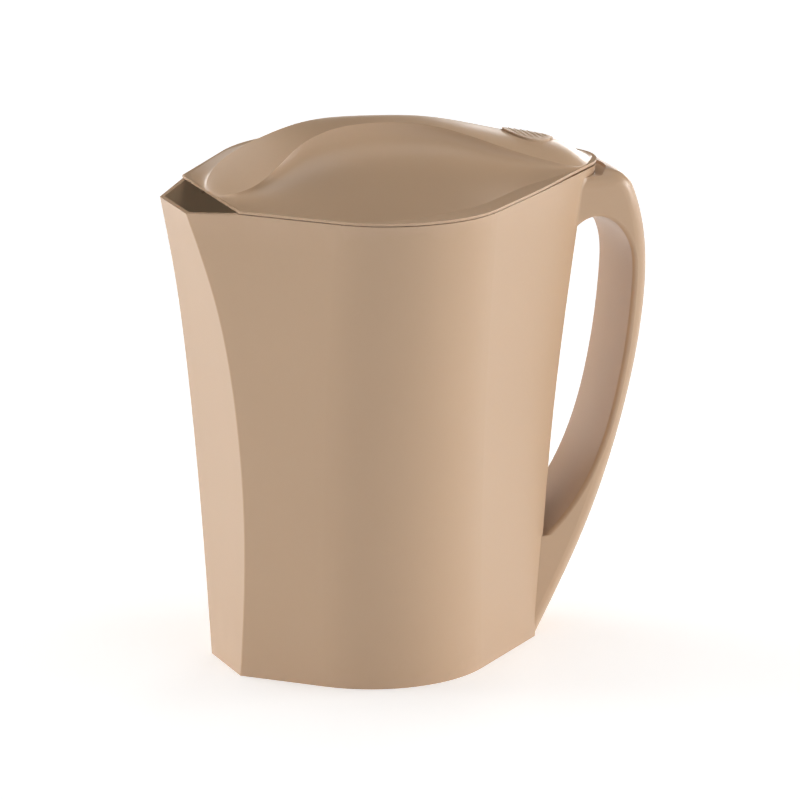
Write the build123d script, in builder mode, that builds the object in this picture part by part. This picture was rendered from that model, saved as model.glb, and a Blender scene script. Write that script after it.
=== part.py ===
from build123d import *
from math import sin, cos, tan, radians, exp, sqrt
import os

# Plastic water jug of about two litres with a lift-off lid.
# Frame: +Z up, origin at the centre of the base, pouring lip towards -X, handle towards +X,
# symmetric about the XZ plane. All sizes are in millimetres.

# Driving sizes of the jug
RIM_HEIGHT = 184.0        # front half of the rim, where the lid sits
RIM_FALL = 1.6            # the rim falls gently by this much towards the handle
RIM_FALL_START = -25.0
RIM_FALL_END = 65.0
WALL = 1.7                # side wall
FLOOR = 3.0               # thickness of the floor
FRONT_FLANK = 45.0        # angle of the front flanks to the XZ plane, degrees
REAR_FLANK = 38.2         # angle of the rear flanks to the XZ plane, degrees
SIDE_RADIUS = 47.5        # arc that joins a front flank to a rear flank
NOSE_RADIUS = 16.0        # rounded rear end of the plan
PROW = (-75.9, -88.5, -94.5)    # where the front flanks would meet: base, half height, rim
STERN = (79.6, 87.9, 99.8)      # where the rear flanks would meet: base, half height, rim
SECTIONS = 5              # plan sections in each loft
FOOT_INSET = 5.0          # width of the standing ring under the base
FOOT_RECESS = 1.2         # depth of the recess inside the ring

# Pouring lip
LIP_TOP = -81.8           # where the front facet meets the rim height
LIP_DROP = 1.8            # the lip lies this much lower than the rest of the rim
FACET_FOOT = -61.4        # front facet at the base
REAR_FOOT = 60.0          # rear wall at the base
FACET_EDGE = 0.8          # rounding of the two sides of the facet

# Handle
HANDLE_WIDTH = 32.6
HANDLE_OUTER_FILLET = 6.0
HANDLE_INNER_FILLET = 1.5
ROOT_FILLET = 2.0         # hollow curve between the bridge and the flanks
BRIDGE_DROP = 3.1         # top of the handle below the rim
VALLEY_WIDTH = 3.6        # shallow valley round the nose of the rim
VALLEY_DROP = 4.7         # its floor below the rim
POCKET_DEPTH = 17.0       # pocket over the bridge, below the rim
DRAWN_HEIGHT = 184.0      # the side views below are drawn for this rim height
DRAWN_STERN = (79.6, 87.9, 99.8)    # and for this rear end

# Lid
SEAT_GAP = 0.3            # rim to flange
TAIL_LIFT = 0.6           # the flange stands this much further off the rim at the tail
TAIL_LIFT_START = 45.0
TAIL_LIFT_END = 80.0
FLANGE = 1.0              # thickness of the flange
FLANGE_BAND = 8.3         # widest part of the flat flange, beside the scoops
LID_WALL = 1.9
LID_FRONT = -66.2         # straight front edge, behind the pouring lip
SKIRT_GAP = 0.6           # skirt to inside of the jug wall
SKIRT_WALL = 1.6
SKIRT_DEPTH = 8.0
SKIRT_FRONT = -56.0       # the skirt is open in front of this
CREST_X = -12.0           # highest point of the ridge
CREST_HEIGHT = 24.1       # crest above the rim
CREST_FRONT_RADIUS = 60.0
DRAWN_CREST = 24.1        # the falls below are drawn for this crest height
CREST_FALL = ((-12, 0.0), (4, 0.6), (20, 2.5), (36, 6.2), (50, 10.2), (62, 13.4), (72, 16.0), (80, 19.4),
              (88, 24.6))  # the ridge behind the crest: x, fall below the crest
FRONT_SLOPE = 31.0        # degrees
RIDGE_WAIST = 6.0         # half width of the ridge at its narrowest
RIDGE_WAIST_X = 5.0
CROWN_RADIUS = 29.0       # cross radius of the ridge top behind the crest
RIDGE_REAR = 19.0         # half width of the ridge at the thumb pad
RIDGE_MARGIN = 0.8        # ridge to the rim outline, at the tail

# Thumb pad
PAD_FRONT = 52.5
PAD_REAR = 73.0
PAD_HALF = 8.0
PAD_RISE = 0.9            # pad above the ridge
PAD_DEPTH = 0.8           # pocket in the ridge
PAD_GAP = 0.15

os.makedirs("parts", exist_ok=True)


def through(values, height):
    """Quadratic through the base, half-height and rim values."""
    t = height / RIM_HEIGHT
    base, half, rim = values
    curve = 2 * (base + rim) - 4 * half
    return base + (rim - base - curve) * t + curve * t * t


def plan_points(prow, stern, radius):
    """Centre and tangent points of the side arc between two straight flanks."""
    front = radians(FRONT_FLANK)
    rear = radians(REAR_FLANK)
    a = radius + prow * sin(front)
    b = radius - stern * sin(rear)
    cx = (a * cos(rear) - b * cos(front)) / sin(front + rear)
    cy = -(b * sin(front) + a * sin(rear)) / sin(front + rear)
    return (cx, cy), (cx - radius * sin(front), cy + radius * cos(front)), \
        (cx + radius * sin(rear), cy + radius * cos(rear))


def jug_plan(height, inset=0.0, front_half=4.0):
    """Lens-shaped outline at a height, moved inwards by inset, as a wire of eight edges."""
    front = radians(FRONT_FLANK)
    rear = radians(REAR_FLANK)
    prow = through(PROW, height) + inset / sin(front)
    stern = through(STERN, height) - inset / sin(rear)
    radius = SIDE_RADIUS - inset
    nose = NOSE_RADIUS - inset
    centre, fore, aft = plan_points(prow, stern, radius)
    nose_x = stern - nose / sin(rear)
    start = (prow + front_half / tan(front), front_half)
    tail = (nose_x + nose * sin(rear), nose * cos(rear))
    top = (centre[0], centre[1] + radius)
    with BuildLine() as outline:
        Line((start[0], -start[1]), start)
        Line(start, fore)
        ThreePointArc(fore, top, aft)
        Line(aft, tail)
        ThreePointArc(tail, (nose_x + nose, 0), (tail[0], -tail[1]))
        Line((tail[0], -tail[1]), (aft[0], -aft[1]))
        ThreePointArc((aft[0], -aft[1]), (top[0], -top[1]), (fore[0], -fore[1]))
        Line((fore[0], -fore[1]), (start[0], -start[1]))
    return outline.wires()[0]


def rim_half(x):
    """Half width of the rim outline at x."""
    centre, fore, aft = plan_points(PROW[2], STERN[2], SIDE_RADIUS)
    if x < fore[0]:
        return (x - PROW[2]) * tan(radians(FRONT_FLANK))
    if x > aft[0]:
        return (STERN[2] - x) * tan(radians(REAR_FLANK))
    return centre[1] + sqrt(SIDE_RADIUS ** 2 - (x - centre[0]) ** 2)


def rim_line(x):
    """Height of the rim at x: level in front, a little lower towards the handle."""
    return RIM_HEIGHT - RIM_FALL * smooth_step((x - RIM_FALL_START) / (RIM_FALL_END - RIM_FALL_START))


def lid_line(x):
    """Height of the underside of the flange at x."""
    lift = TAIL_LIFT * smooth_step((x - TAIL_LIFT_START) / (TAIL_LIFT_END - TAIL_LIFT_START))
    return rim_line(x) + SEAT_GAP + lift


def smooth_step(t):
    t = min(max(t, 0.0), 1.0)
    return t * t * (3 - 2 * t)


half_width = HANDLE_WIDTH / 2
BEYOND = 80.0             # cutters reach this far past the jug
heights = [RIM_HEIGHT * i / (SECTIONS - 1) for i in range(SECTIONS)]
inner_heights = [FLOOR + (RIM_HEIGHT - FLOOR) * i / (SECTIONS - 1) for i in range(SECTIONS)]

BRIDGE_TOP = RIM_HEIGHT - BRIDGE_DROP
BRIDGE_FLOOR = RIM_HEIGHT - POCKET_DEPTH


TALLER = RIM_HEIGHT / DRAWN_HEIGHT


def drawn(points):
    """Side-view points carried along when the rim height or the rear end of the rim changes."""
    return [(x + through(STERN, z * TALLER) - through(DRAWN_STERN, z * TALLER), z * TALLER)
            for x, z in points]


# Side views of the facet, the rear wall and the handle, as points (x, z)
facet_line = [(FACET_FOOT, 0), (-62.6, 60 * TALLER), (-66.7, 110 * TALLER), (-73.0, 150 * TALLER),
              (LIP_TOP, RIM_HEIGHT)]
rear_line = [(REAR_FOOT, 0)] + drawn([(63.3, 45), (66.8, 90), (72.8, 136), (78.0, 170)])
handle_back = [(55.0, -12), (61.5, 0)] + drawn([(81.6, 39), (98.0, 85), (106.0, 125),
                                                (106.3, 155), (101.5, 173.5)])
gap_line = drawn([(77.0, 161.0), (87.5, 163.3), (97.6, 154.0), (99.9, 135.0), (94.5, 97.0),
                  (80.5, 59.0), (64.0, 40.0)])
bridge_end = (STERN[2] - 9.3, BRIDGE_TOP)
handle_core = [(STERN[2] - 25.8, BRIDGE_TOP)] + drawn([(62.0, 150), (50.0, 40)]) + [(45.0, -12)]
gap_core = drawn([(40.0, 40.0), (40.0, 161.0)])

# Everything in front of the facet, and the same for the inside of the wall
with BuildPart() as front_cutter:
    with BuildSketch(Plane.XZ):
        with BuildLine():
            face = Spline(facet_line, tangents=[(0, 1), (-0.28, 1)])
            Polyline(face @ 1, (LIP_TOP - 3, RIM_HEIGHT + 10), (LIP_TOP - BEYOND, RIM_HEIGHT + 10),
                     (LIP_TOP - BEYOND, -5), (FACET_FOOT, -5), face @ 0)
        make_face()
    extrude(amount=BEYOND, both=True)

# Everything behind the rear wall, below the bridge of the handle
with BuildPart() as rear_cutter:
    with BuildSketch(Plane.XZ):
        with BuildLine():
            face = Spline(rear_line)
            Polyline(face @ 1, (STERN[2] + BEYOND, rear_line[-1][1]), (STERN[2] + BEYOND, -5),
                     (REAR_FOOT, -5), face @ 0)
        make_face()
    extrude(amount=BEYOND, both=True)

with BuildPart() as inner_rear_cutter:
    with BuildSketch(Plane.XZ):
        with BuildLine():
            face = Spline([(x - WALL, z) for x, z in rear_line[:-1]]
                          + [(rear_line[-1][0] - WALL - 1, BRIDGE_FLOOR)])
            Polyline(face @ 1, (STERN[2] + BEYOND, BRIDGE_FLOOR), (STERN[2] + BEYOND, -5),
                     (REAR_FOOT - WALL, -5), face @ 0)
        make_face()
    extrude(amount=BEYOND, both=True)

# Handle: one curved bar from the rim to the base
with BuildPart() as handle:
    with BuildSketch(Plane.XZ):
        with BuildLine():
            back = Spline(handle_back)
            top = Spline([back @ 1, bridge_end], tangents=[back % 1, (-1, 0)])
            Polyline([top @ 1] + handle_core + [back @ 0])
        make_face()
        with BuildLine():
            inner = Spline(gap_line)
            Polyline([inner @ 1] + gap_core + [inner @ 0])
        make_face(mode=Mode.SUBTRACT)
    extrude(amount=half_width, both=True)
    side_edges = handle.edges().filter_by(lambda e: abs(abs(e.center().Y) - half_width) < 0.01)
    curved_edges = side_edges.filter_by(GeomType.BSPLINE)
    back_edges = curved_edges.filter_by(lambda e: e.length > 0.98 * RIM_HEIGHT)
    fillet(back_edges, HANDLE_OUTER_FILLET)
    grip_edges = handle.edges().filter_by(GeomType.BSPLINE).filter_by(
        lambda e: abs(abs(e.center().Y) - half_width) < 0.01 and 0.72 < e.length / RIM_HEIGHT < 0.9)
    fillet(grip_edges, HANDLE_INNER_FILLET)
    split(bisect_by=Plane.XY, keep=Keep.TOP)


def above(line, rise):
    """Everything above a side-view line raised by rise; the line is sampled from where it bends."""
    stops = [RIM_FALL_START, 0, 20, 40, 55, 70, TAIL_LIFT_END + 15]
    with BuildPart() as body:
        with BuildSketch(Plane.XZ):
            with BuildLine():
                curve = Spline([(x, line(x) + rise) for x in stops], tangents=[(1, 0), (1, 0)])
                Polyline(curve @ 1, (2 * BEYOND, line(stops[-1]) + rise), (2 * BEYOND, RIM_HEIGHT + BEYOND),
                         (-2 * BEYOND, RIM_HEIGHT + BEYOND), (-2 * BEYOND, line(stops[0]) + rise), curve @ 0)
            make_face()
        extrude(amount=BEYOND, both=True)
    return body.part


with BuildPart() as shell_outside:
    for height in heights:
        with BuildSketch(Plane.XY.offset(height)):
            with BuildLine():
                add(jug_plan(height))
            make_face()
    loft()
    add(front_cutter.part, mode=Mode.SUBTRACT)
    add(rear_cutter.part, mode=Mode.SUBTRACT)
    facet_sides = shell_outside.edges().filter_by(
        lambda e: e.length > 150 and e.center().X < FACET_FOOT and abs(e.center().Y) > 8)
    fillet(facet_sides, FACET_EDGE)
    add(above(rim_line, 0), mode=Mode.SUBTRACT)

# Inside of the jug, with a pocket over the handle bridge
with BuildPart() as cavity:
    for height in inner_heights + [RIM_HEIGHT + 6]:
        with BuildSketch(Plane.XY.offset(height)):
            with BuildLine():
                add(jug_plan(height, inset=WALL, front_half=3.0))
            make_face()
    loft()
    add(front_cutter.part.moved(Location((WALL, 0, 0))), mode=Mode.SUBTRACT)
    add(inner_rear_cutter.part, mode=Mode.SUBTRACT)

# Valley in the top of the handle, round the nose of the rim
with BuildPart() as valley:
    with BuildSketch(Plane.XY.offset(RIM_HEIGHT - VALLEY_DROP)):
        with BuildLine():
            add(jug_plan(RIM_HEIGHT, inset=-VALLEY_WIDTH))
        make_face()
    extrude(amount=CREST_HEIGHT)

with BuildPart() as jug_body:
    add(handle.part)
    add(valley.part, mode=Mode.SUBTRACT)
    add(shell_outside.part)
    root_x = through(STERN, BRIDGE_FLOOR) - half_width / tan(radians(REAR_FLANK))
    root_edges = jug_body.edges().filter_by(
        lambda e: e.length > 8 and abs(abs(e.center().Y) - half_width) < 0.3
        and abs(e.center().X - root_x) < 3 and BRIDGE_FLOOR - 5 < e.center().Z < BRIDGE_TOP)
    fillet(root_edges, ROOT_FILLET)
    add(cavity.part, mode=Mode.SUBTRACT)
    # The lip dips towards the front
    with BuildSketch(Plane.XZ):
        with BuildLine():
            Polyline((LID_FRONT, RIM_HEIGHT), (LIP_TOP, RIM_HEIGHT - LIP_DROP),
                     (LIP_TOP - 10, RIM_HEIGHT - LIP_DROP), (LIP_TOP - 10, RIM_HEIGHT + 10),
                     (LID_FRONT, RIM_HEIGHT + 10), close=True)
        make_face()
    extrude(amount=BEYOND, both=True, mode=Mode.SUBTRACT)
    # Recess under the base, inside a standing ring
    with BuildSketch(Plane.XY):
        with BuildLine():
            add(jug_plan(0, inset=FOOT_INSET))
        make_face()
        with Locations(((FACET_FOOT + REAR_FOOT) / 2, 0)):
            Rectangle(REAR_FOOT - FACET_FOOT - 2 * FOOT_INSET, 4 * SIDE_RADIUS, mode=Mode.INTERSECT)
    extrude(amount=FOOT_RECESS, mode=Mode.SUBTRACT)


def ridge_half(x):
    """Half width of the ridge top: the whole lid in front, a waist at the crest, wide again at the pad."""
    if x < RIDGE_WAIST_X:
        front_wide = rim_half(LID_FRONT) - 0.9 - RIDGE_WAIST
        t = (RIDGE_WAIST_X - x) / (RIDGE_WAIST_X - LID_FRONT)
        return RIDGE_WAIST + front_wide * t ** 2.2
    wide = (RIDGE_REAR - RIDGE_WAIST) * (1 - exp(-((x - RIDGE_WAIST_X) / 38.0) ** 2))
    return min(RIDGE_WAIST + wide, rim_half(x) - RIDGE_MARGIN)


def crest_line(x):
    """Height of the ridge on the centre plane."""
    crest = RIM_HEIGHT + CREST_HEIGHT
    for (x0, fall0), (x1, fall1) in zip(CREST_FALL[:-1], CREST_FALL[1:]):
        if x0 <= x <= x1:
            return crest - (fall0 + (fall1 - fall0) * (x - x0) / (x1 - x0)) * CREST_HEIGHT / DRAWN_CREST
    slope = radians(FRONT_SLOPE)
    knee = CREST_X - CREST_FRONT_RADIUS * sin(slope)
    if x >= knee:
        return crest - CREST_FRONT_RADIUS + sqrt(CREST_FRONT_RADIUS ** 2 - (x - CREST_X) ** 2)
    return crest - CREST_FRONT_RADIUS * (1 - cos(slope)) - (knee - x) * tan(slope)


def band(x):
    """Width of the flat flange beside the scoops."""
    return 0.4 + FLANGE_BAND * smooth_step((x + 42) / 55) * (1 - smooth_step((x - 42) / 34))


def lid_section(x, rise, drop, inset, margin):
    """Cross section of the ridge and its two scoops at x, lowered by drop and narrowed by inset."""
    base = lid_line(x) + rise
    top = max(crest_line(x) - drop, base + 0.4)
    tail_half = sqrt(2 * CROWN_RADIUS * (top - base - 0.2))
    half = max(min(ridge_half(x) - inset, tail_half), 1.0)
    foot = max(rim_half(x) - max(band(x) + inset, margin), half + 0.4)
    crown = min(0.4 + half ** 2 / (2 * CROWN_RADIUS) * smooth_step((x + 30) / 45), top - base - 0.15)
    edge = top - crown
    wall = edge - base
    with BuildLine() as outline:
        Line((-foot, base), (foot, base))
        Bezier((foot, base), (foot - 0.78 * (foot - half), base + 0.38 * wall),
               (half + 0.06 * (foot - half), base + 0.46 * wall), (half, edge))
        ThreePointArc((half, edge), (0, top), (-half, edge))
        Bezier((-half, edge), (-half - 0.06 * (foot - half), base + 0.46 * wall),
               (-foot + 0.78 * (foot - half), base + 0.38 * wall), (-foot, base))
    return outline.wires()[0]


skirt_inset = WALL + SKIRT_GAP
lid_stations = [LID_FRONT, -60, -50, -38, -25, -12, 4, 20, 36, 50, 62, 72, 80, 88]


def lid_dome(rise, drop, inset, margin, stations):
    """Loft of the ridge and scoops through the cross sections at the stations."""
    with BuildPart() as dome:
        for x in stations:
            with BuildSketch(Plane.YZ.offset(x)):
                with BuildLine():
                    add(lid_section(x, rise, drop, inset, margin))
                make_face()
        loft()
    return dome.part


def rim_prism(low, high, inset):
    """Body of the rim outline between two heights, moved inwards by inset."""
    with BuildPart() as prism:
        with BuildSketch(Plane.XY.offset(low)):
            with BuildLine():
                add(jug_plan(RIM_HEIGHT, inset))
            make_face()
        extrude(amount=high - low)
    return prism.part


def skirt_body(inset):
    """Tapered body that follows the inside of the jug below the rim."""
    with BuildPart() as body:
        for height in (RIM_HEIGHT - SKIRT_DEPTH - RIM_FALL, RIM_HEIGHT + FLANGE):
            with BuildSketch(Plane.XY.offset(height)):
                with BuildLine():
                    add(jug_plan(height, inset))
                make_face()
        loft()
        add(above(lid_line, 0.2), mode=Mode.SUBTRACT)
        add(above(rim_line, -SKIRT_DEPTH), mode=Mode.INTERSECT)
    return body.part


dome_outer = lid_dome(FLANGE - 0.2, 0, 0, 0, lid_stations)
dome_inner = lid_dome(-1, LID_WALL, LID_WALL, skirt_inset + SKIRT_WALL + 0.6,
                      [LID_FRONT + LID_WALL] + lid_stations[1:-3] + [68])
dome_clip = rim_prism(RIM_HEIGHT - RIM_FALL, RIM_HEIGHT + CREST_HEIGHT + 10, 0.0)
pad_bed = dome_outer.moved(Location((0, 0, -PAD_DEPTH)))


def leaf(grow):
    """Upright body of the thumb pad's leaf outline: a point in front, round behind."""
    with BuildPart() as body:
        with BuildSketch(Plane.XY.offset(RIM_HEIGHT)):
            with BuildLine():
                upper = ThreePointArc((PAD_FRONT - 2 * grow, 0),
                                      ((PAD_FRONT + PAD_REAR) / 2, PAD_HALF + grow),
                                      (PAD_REAR - 2.5 + grow / 2, 3.5 + grow))
                lower = ThreePointArc((PAD_FRONT - 2 * grow, 0),
                                      ((PAD_FRONT + PAD_REAR) / 2, -PAD_HALF - grow),
                                      (PAD_REAR - 2.5 + grow / 2, -3.5 - grow))
                ThreePointArc(upper @ 1, (PAD_REAR + grow, 0), lower @ 1)
            make_face()
        extrude(amount=CREST_HEIGHT + 10)
    return body.part


with BuildPart() as pocket:
    add(leaf(PAD_GAP))
    add(pad_bed, mode=Mode.SUBTRACT)

with BuildPart() as skirt:
    add(skirt_body(skirt_inset))
    add(skirt_body(skirt_inset + SKIRT_WALL), mode=Mode.SUBTRACT)
    split(bisect_by=Plane.YZ.offset(SKIRT_FRONT), keep=Keep.TOP)

with BuildPart() as flange:
    add(dome_clip)
    add(above(lid_line, FLANGE), mode=Mode.SUBTRACT)
    add(above(lid_line, 0), mode=Mode.INTERSECT)

with BuildPart() as lid:
    add(dome_outer)
    add(dome_clip, mode=Mode.INTERSECT)
    add(flange.part)
    split(bisect_by=Plane.YZ.offset(LID_FRONT), keep=Keep.TOP)
    add(dome_inner, mode=Mode.SUBTRACT)
    add(skirt.part)
    add(pocket.part, mode=Mode.SUBTRACT)

with BuildPart() as thumb_pad:
    add(leaf(0.0))
    add(dome_outer.moved(Location((0, 0, PAD_RISE))), mode=Mode.INTERSECT)
    add(pad_bed, mode=Mode.SUBTRACT)

for piece, name in ((jug_body, "jug_body"), (lid, "lid"), (thumb_pad, "thumb_pad")):
    piece.part.label = name
    export_step(piece.part, "parts/" + name + ".step")
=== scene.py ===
# %% [markdown]
# # A moulded plastic water jug
#
# This lesson dresses a finished engineering model of a two-litre jug with a lift-off lid. The real
# object is injection moulded in one warm beige plastic, so there is no paint, no seam and no second
# colour to hide behind: everything the eye enjoys comes from smooth curved walls and soft light.
# The work is therefore in three places: the plastic itself, the lights, and the camera.
#
# The packed model is loaded as it is. Its nodes are the jug, the lid and the thumb pad, all in
# metres, standing on the plane z = 0 with the pouring lip towards -X.

# %% Load the model
from math import cos, radians, sin

import bpy
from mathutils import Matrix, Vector
from mathutils.bvhtree import BVHTree


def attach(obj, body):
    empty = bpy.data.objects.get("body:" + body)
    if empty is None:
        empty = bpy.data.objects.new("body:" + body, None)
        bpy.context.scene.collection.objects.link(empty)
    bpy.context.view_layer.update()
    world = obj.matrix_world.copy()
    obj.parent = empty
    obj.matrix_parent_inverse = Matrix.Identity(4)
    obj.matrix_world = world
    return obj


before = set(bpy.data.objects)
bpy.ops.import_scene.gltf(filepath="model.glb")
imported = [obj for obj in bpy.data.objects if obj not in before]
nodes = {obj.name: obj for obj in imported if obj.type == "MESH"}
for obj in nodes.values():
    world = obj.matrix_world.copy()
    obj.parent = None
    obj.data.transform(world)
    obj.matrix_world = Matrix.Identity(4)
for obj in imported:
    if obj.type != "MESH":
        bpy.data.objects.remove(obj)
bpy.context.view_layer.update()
scene = bpy.context.scene

# %% [markdown]
# ## The camera
#
# Product pictures are taken from far away with a long lens, which keeps upright edges nearly
# parallel. The camera here stands 2.76 m from the jug, a little to the left of its side and 17
# degrees above it, behind a 328 mm lens on the usual 36 mm sensor. It aims at a point near the
# middle of the jug, given in the model's own metres.

# %% Camera
AIM = Vector((0.0104, 0.0, 0.0960))
BACK = Vector((-0.3793, -0.8797, 0.2869)).normalized()
DISTANCE = 2.76

camera_data = bpy.data.cameras.new("camera")
camera_data.lens = 328.0
camera_data.sensor_width = 36.0
camera_data.clip_start = 0.1
camera_data.clip_end = 50.0
camera = bpy.data.objects.new("camera", camera_data)
camera.location = AIM + BACK * DISTANCE
camera.rotation_mode = "QUATERNION"
camera.rotation_quaternion = (-BACK).to_track_quat("-Z", "Y")
scene.collection.objects.link(camera)
scene.camera = camera
scene.view_settings.view_transform = "Standard"
print("camera at", [round(v, 3) for v in camera.location])

# %% [markdown]
# ## Shader maths as plain expressions
#
# A procedural material is a small sum of noises and masks. Wiring those sums by hand hides what
# they mean, so one little class wraps a socket and turns +, - and * into Math nodes. The reflected
# forms let a plain number stand on the left, as in 1 - mask.

# %% A socket that knows arithmetic
class Value:
    """A float socket of a node tree, with the operators that the recipes below use."""

    def __init__(self, tree, socket):
        self.tree = tree
        self.socket = socket

    def math(self, operation, left, right):
        node = self.tree.nodes.new("ShaderNodeMath")
        node.operation = operation
        for socket, value in zip(node.inputs, (left, right)):
            if isinstance(value, Value):
                self.tree.links.new(value.socket, socket)
            else:
                socket.default_value = value
        return Value(self.tree, node.outputs[0])

    def __add__(self, other):
        return self.math("ADD", self, other)

    def __radd__(self, other):
        return self.math("ADD", other, self)

    def __sub__(self, other):
        return self.math("SUBTRACT", self, other)

    def __rsub__(self, other):
        return self.math("SUBTRACT", other, self)

    def __mul__(self, other):
        return self.math("MULTIPLY", self, other)

    def __rmul__(self, other):
        return self.math("MULTIPLY", other, self)


print("operators", [name for name in vars(Value) if name.startswith("__r")])

# %% [markdown]
# ## One way to add every other node
#
# Any node that isn't arithmetic comes from a single method. It takes the node's type, the settings
# that belong to the node itself, such as the stops of a colour ramp, and then its sockets by name.
# A socket gets a plain value or a link. Sockets that share a name, as on a Mix node, are reached by
# their number with an underscore in front.

# %% A recipe book
class Recipe:
    """A node tree with one method for every node that isn't arithmetic."""

    def __init__(self, tree):
        self.tree = tree
        self.tree.nodes.clear()

    def node(self, kind, settings=None, **sockets):
        """Adds a node; settings are its own properties, sockets are values or links by name."""
        node = self.tree.nodes.new("ShaderNode" + kind)
        for key, value in (settings or {}).items():
            if key == "stops":
                self.lay_stops(node.color_ramp.elements, value)
            else:
                setattr(node, key, value)
        for key, value in sockets.items():
            number = key[1:]
            socket = node.inputs[int(number) if number.isdigit() else key.replace("_", " ")]
            if isinstance(value, Value):
                self.tree.links.new(value.socket, socket)
            elif isinstance(value, bpy.types.NodeSocket):
                self.tree.links.new(value, socket)
            else:
                socket.default_value = value
        return node

    @staticmethod
    def lay_stops(ramp, stops):
        """Gives a colour ramp its stops, as (place, colour) pairs."""
        while len(ramp) < len(stops):
            ramp.new(0.5)
        for stop, (place, colour) in zip(ramp, stops):
            stop.position = place
            stop.color = (*colour, 1.0)

    def value(self, socket):
        return Value(self.tree, socket)

    def mix(self, share, first, second):
        """Colour that goes from first to second while share goes from 0 to 1."""
        made = self.node("Mix", {"data_type": "RGBA"}, _0=share, _6=first, _7=second)
        return made.outputs[2]

    def step(self, value, start, end, low=0.0, high=1.0):
        """Smooth step from low to high while value goes from start to end."""
        made = self.node("MapRange", {"interpolation_type": "SMOOTHSTEP"}, Value=value,
                         From_Min=start, From_Max=end, To_Min=low, To_Max=high)
        return self.value(made.outputs["Result"])

    def noise(self, place, scale, detail=2.0, roughness=0.5):
        """Soft noise between 0 and 1 at a place in the object, in cells per metre."""
        made = self.node("TexNoise", Vector=place, Scale=scale, Detail=detail, Roughness=roughness)
        return self.value(made.outputs["Fac"])


def new_material(name):
    """An empty material with its recipe."""
    material = bpy.data.materials.new(name)
    material.use_nodes = True
    return material, Recipe(material.node_tree)


print("recipe methods", [name for name in vars(Recipe) if not name.startswith("__")])

# %% [markdown]
# ## The plastic
#
# Moulded polypropylene isn't a flat colour. Light goes a little way in and comes out again, which
# softens the shade side; the pigment varies by a few percent over a hand's width where the melt
# flowed; the skin has a very fine orange peel from the steel tool; and corners that get handled
# are polished slightly smoother. Each of those four is a term in the recipe: a little
# subsurface, large soft noise in the colour, two scales of noise in the bump, and a pointiness
# mask for the edges. The same edge mask also paints the edges paler, partly as wear and partly
# as a painted highlight on their small roundings.

# %% Plastic colours
BEIGE = (0.558, 0.381, 0.246)
BEIGE_DEEP = (0.529, 0.356, 0.226)
# edge colour: partly wear, partly a painted highlight on the edge roundings
BEIGE_PALE = (0.640, 0.445, 0.310)
BLACK = (0.0, 0.0, 0.0, 1.0)

# Noise sizes, in cells per metre
FLOW_CELLS = 14.0
CLOUD_CELLS = 60.0
PEEL_CELLS = 900.0
FROST_CELLS = 4200.0
EDGE_STOPS = [(0.52, (0, 0, 0)), (0.60, (1, 1, 1))]
PEEL_DEPTH = 0.0002
print("plastic", BEIGE)

# %% [markdown]
# ## Painted glow for light through a thin wall
#
# The jug's wall is 1.7 mm thick, so on the real object some light comes through it and the inside
# of the pouring lip is never black. Tracing that light is slow and grainy. Instead a faint painted
# glow stands in for it: an emission on the faces that look towards the middle of the jug. Such a
# face is easy to find: its normal points against the way from the axis to it. The mask fades out
# before the handle, whose grip also faces the axis but isn't inside.

# %% Inner faces
# painted glow colour: an emission on the inner faces that stands in for light through the wall
PAINTED_WALL_GLOW = (0.044, 0.040, 0.028, 1.0)
FACING_START, FACING_END = 0.010, 0.030
GLOW_END_START, GLOW_END = 0.045, 0.058


def inner_faces(recipe):
    """1 on the upright faces that look towards the middle of the jug, in front of the handle."""
    here = recipe.node("TexCoord").outputs
    place = recipe.node("SeparateXYZ", Vector=here["Object"]).outputs
    facing = recipe.node("SeparateXYZ", Vector=here["Normal"]).outputs
    x, y = recipe.value(place["X"]), recipe.value(place["Y"])
    outwards = x * recipe.value(facing["X"]) + y * recipe.value(facing["Y"])
    inwards = recipe.step(0.0 - outwards, FACING_START, FACING_END)
    return inwards * (1.0 - recipe.step(x, GLOW_END_START, GLOW_END))


print("wall glow", PAINTED_WALL_GLOW[:3])


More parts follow.
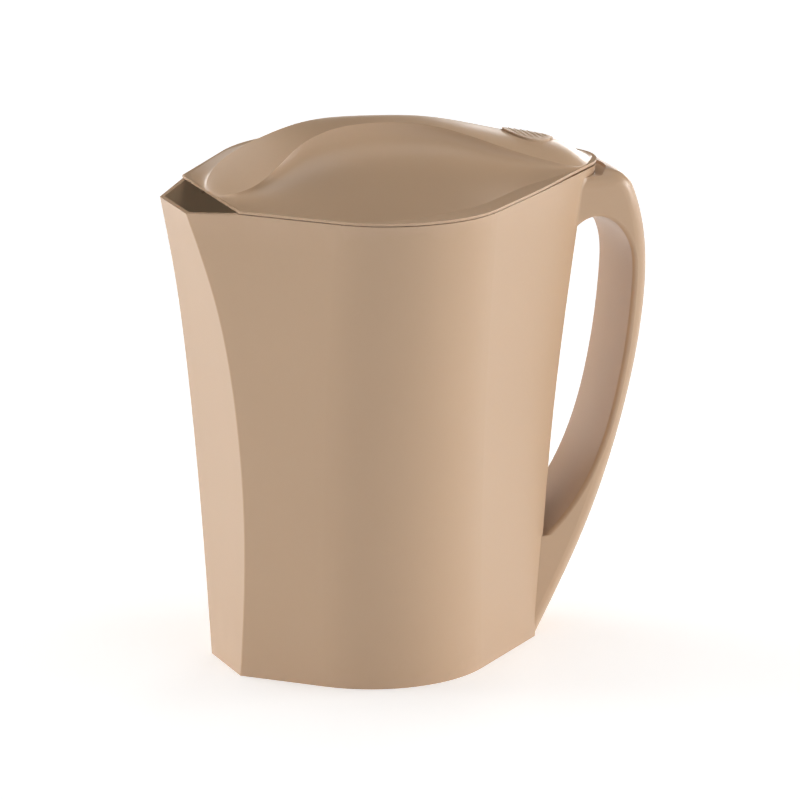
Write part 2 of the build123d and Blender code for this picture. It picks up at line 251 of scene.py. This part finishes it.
# %% Plastic recipe
def moulded_plastic(name, grain=1.0, roughness=0.30, tint=1.0, painted_inner_glow=False):
    """Warm beige polypropylene. grain scales the fine bump, tint darkens or lightens the colour,
    and a piece with painted_inner_glow gets a faint painted glow on its inner faces."""
    material, recipe = new_material(name)
    place = recipe.node("TexCoord").outputs["Object"]
    flow = recipe.noise(place, FLOW_CELLS, detail=3.0)
    cloud = recipe.noise(place, CLOUD_CELLS, detail=2.0)
    peel = recipe.noise(place, PEEL_CELLS, detail=3.0)
    frost = recipe.noise(place, FROST_CELLS, detail=1.0)
    pointy = recipe.node("NewGeometry").outputs["Pointiness"]
    # edge mask: smoother, paler edges, partly wear and partly a painted highlight on the edge
    # roundings
    edges = recipe.node("ValToRGB", {"stops": EDGE_STOPS}, Fac=pointy)
    edge_wear_and_highlight = recipe.value(edges.outputs["Color"]) * (0.5 + 0.8 * cloud)

    def shade(colour):
        return (colour[0] * tint, colour[1] * tint, colour[2] * tint, 1.0)

    mottled = recipe.mix(flow * 0.6 + cloud * 0.2, shade(BEIGE_DEEP), shade(BEIGE))
    edged = recipe.mix(edge_wear_and_highlight * 0.35, mottled, shade(BEIGE_PALE))
    bump = recipe.node("Bump", Strength=0.10 * grain, Distance=PEEL_DEPTH,
                       Height=peel * 0.7 + frost * 0.3)
    plastic = recipe.node("BsdfPrincipled", Base_Color=edged,
                          Roughness=roughness + 0.05 * cloud - 0.06 * edge_wear_and_highlight,
                          Normal=bump.outputs["Normal"])
    plastic.inputs["IOR"].default_value = 1.49
    plastic.inputs["Subsurface Weight"].default_value = 0.08
    plastic.inputs["Subsurface Radius"].default_value = (0.004, 0.0025, 0.0015)
    plastic.inputs["Subsurface Scale"].default_value = 1.0
    # painted glow: an emission on the inner faces stands in for light coming through the thin wall
    if painted_inner_glow:
        glowing = recipe.mix(inner_faces(recipe), BLACK, PAINTED_WALL_GLOW)
        recipe.tree.links.new(glowing, plastic.inputs["Emission Color"])
        plastic.inputs["Emission Strength"].default_value = 1.0
    recipe.node("OutputMaterial", Surface=plastic.outputs["BSDF"])
    return material


finishes = {
    "jug_body": moulded_plastic("jug plastic", painted_inner_glow=True),
    "lid": moulded_plastic("lid plastic"),
    "thumb_pad": moulded_plastic("thumb pad grip", grain=3.0, roughness=0.42, tint=0.96),
}
for name, finish in finishes.items():
    mesh = nodes[name].data
    mesh.materials.clear()
    mesh.materials.append(finish)
    print(name, "wears", finish.name)

# %% [markdown]
# ## Ribs on the thumb pad
#
# The pad that a thumb presses has a shallow raised pattern. Here it is six low crescent ribs across
# the pad. A bump map would vanish at the pad's outline and in the exported mesh, so the ribs are
# real. Each is laid on the pad's own surface: a ray dropped from above finds the height of the pad
# under every point. The ends run out into the surface, and the underside is a little below it.

# %% Height of the pad
DROP_FROM = 0.3

pad = nodes["thumb_pad"]
pad_tree = BVHTree.FromPolygons([pad.matrix_world @ v.co for v in pad.data.vertices],
                                [list(face.vertices) for face in pad.data.polygons])


def pad_height(x, y):
    """Height of the pad's top at a place, or None beside the pad."""
    hit = pad_tree.ray_cast(Vector((x, y, DROP_FROM)), Vector((0, 0, -1)))[0]
    return hit.z if hit else None


print("pad top", round(pad_height(0.0622, 0.0), 4))

# %% Thumb pad ribs
RIB_XS = (0.0570, 0.0596, 0.0622, 0.0648, 0.0674, 0.0700)
RIB_WIDTH = 0.0011
RIB_HEIGHT = 0.00032
RIB_SWEEP = 0.0016        # how far the ends curve back from the middle
RIB_SINK = 0.00004
RIB_STEPS = 24
RIB_PROFILE = ((-0.5, -0.4), (-0.28, 0.6), (0.0, 1.0), (0.28, 0.6), (0.5, -0.4))
PAD_MARGIN = 0.0008       # flat border left round the ribs
PAD_HALF = 0.008
REACH_STEP = 0.0002


def rib_reach(rib_x):
    """Half length of the rib at rib_x: as far as the pad goes, less its border."""
    reach = 0.0
    while pad_height(rib_x + RIB_WIDTH, reach + PAD_MARGIN) and reach < PAD_HALF:
        reach += REACH_STEP
    return reach


rib_points, rib_faces = [], []
corners = len(RIB_PROFILE)
for rib_x in RIB_XS:
    reach = rib_reach(rib_x)
    for i in range(RIB_STEPS + 1):
        t = 2 * i / RIB_STEPS - 1
        y = reach * t
        swell = RIB_HEIGHT * (1 - t ** 4)
        for across, up in RIB_PROFILE:
            x = rib_x + RIB_SWEEP * (t * t - 0.5) + RIB_WIDTH * across
            top = pad_height(x, y) or pad_height(rib_x, y)
            rib_points.append((x, y, top + swell * up - RIB_SINK))
        ring = len(rib_points) - corners
        if i:
            for k in range(corners):
                a, b = ring + k, ring + (k + 1) % corners
                rib_faces.append((b, a, a - corners, b - corners))
        if i in (0, RIB_STEPS):
            end = [ring + k for k in range(corners)]
            rib_faces.append(end if i else end[::-1])

rib_mesh = bpy.data.meshes.new("thumb_pad_ribs")
rib_mesh.from_pydata(rib_points, [], rib_faces)
rib_mesh.shade_smooth()
rib_mesh.materials.append(finishes["thumb_pad"])
ribs = bpy.data.objects.new("thumb_pad_ribs", rib_mesh)
scene.collection.objects.link(ribs)
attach(ribs, "lid")
print("ribs", len(RIB_XS), "faces", len(rib_faces))

# %% [markdown]
# ## The light table
#
# The jug stands on a wide pale light table, so the floor is bright by itself and throws soft light
# up the walls. It glows just enough to come out white with only a breath of shadow at the foot, as
# in a catalogue picture.

# %% Light table
REACH = 30.0
PAPER_LOW = (0.86, 0.86, 0.86, 1.0)
PAPER_HIGH = (0.89, 0.89, 0.89, 1.0)
PAPER_CELLS = 3.0

floor_mesh = bpy.data.meshes.new("floor")
floor_corners = [(-REACH, -REACH, 0), (REACH, -REACH, 0), (REACH, REACH, 0), (-REACH, REACH, 0)]
floor_mesh.from_pydata(floor_corners, [], [(0, 1, 2, 3)])
floor = bpy.data.objects.new("floor", floor_mesh)
scene.collection.objects.link(floor)

paper_material, paper = new_material("pale paper")
paper_place = paper.node("TexCoord").outputs["Object"]
paper_tone = paper.mix(paper.noise(paper_place, PAPER_CELLS), PAPER_LOW, PAPER_HIGH)
paper_sheet = paper.node("BsdfPrincipled", Base_Color=paper_tone)
paper_sheet.inputs["Roughness"].default_value = 0.9
paper_sheet.inputs["Emission Color"].default_value = (1.0, 1.0, 1.0, 1.0)
paper_sheet.inputs["Emission Strength"].default_value = 0.42
paper.node("OutputMaterial", Surface=paper_sheet.outputs["BSDF"])
floor_mesh.materials.append(paper_material)
print("floor", REACH * 2, "m wide")

# %% [markdown]
# ## The room
#
# Gloss only shows what surrounds it, so the lights are painted on a dark room as round soft boxes.
# The lip box stands behind the pouring lip and brightens the flat front facet. The flank box, in
# two halves, stands off to the right and brightens the rear flank. The side towards the camera lies
# between the two, which gives the round side its darker band. A dim ceiling keeps the lid darker
# than the walls, and the rest soften the back. A pale backdrop runs round the horizon, so that the
# table has no dark edge in low views.

# %% Soft boxes
# name: azimuth, elevation, spread, edge, radiance
SOFT_BOXES = {
    "lip box": (242, 6, 3, 13, 14.8),
    "flank box, far half": (80, 6, 3, 13, 11.6),
    "flank box, near half": (60, 6, 3, 13, 6.3),
    "handle rim light": (136, 6, 3, 13, 10.0),
    "back wall": (183, 6, 3, 13, 3.1),
    "back wall, left": (222, 6, 3, 13, 1.7),
    "high left": (215, 30, 4, 16, 1.6),
    "high front": (20, 30, 4, 16, 1.4),
    "ceiling": (0, 90, 14, 24, 1.8),
}
BACKDROP = 1.0
BACKDROP_TOP, BACKDROP_END = 0.05, 0.13    # sines of the elevations where it starts to fade and ends
UP = Vector((0.0, 0.0, 1.0))

world = bpy.data.worlds.new("room")
world.use_nodes = True
scene.world = world
room = Recipe(world.node_tree)
towards = room.node("TexCoord").outputs["Generated"]


def compass(azimuth, elevation):
    """Unit vector to a place round the jug; azimuth 0 is the -Y side and 90 the +X side."""
    a, e = radians(azimuth), radians(elevation)
    return Vector((sin(a) * cos(e), -cos(a) * cos(e), sin(e)))


def along(direction):
    """Cosine between the looked-at place of the room and a direction."""
    dot = room.node("VectorMath", {"operation": "DOT_PRODUCT"}, _0=towards, _1=direction)
    return room.value(dot.outputs["Value"])


def painted_box(azimuth, elevation, spread, edge, radiance):
    """A round soft box painted on the room: full inside spread, gone at spread + edge degrees."""
    place = along(compass(azimuth, elevation))
    return room.step(place, cos(radians(spread + edge)), cos(radians(spread)), 0.0, radiance)


glow = room.step(along(UP), BACKDROP_TOP, BACKDROP_END, BACKDROP, 0.0)
for box in SOFT_BOXES.values():
    glow = glow + painted_box(*box)
background = room.node("Background", Color=(1.0, 1.0, 1.0, 1.0), Strength=glow)
room.node("OutputWorld", Surface=background.outputs["Background"])
print("room painted with", len(SOFT_BOXES), "soft boxes")
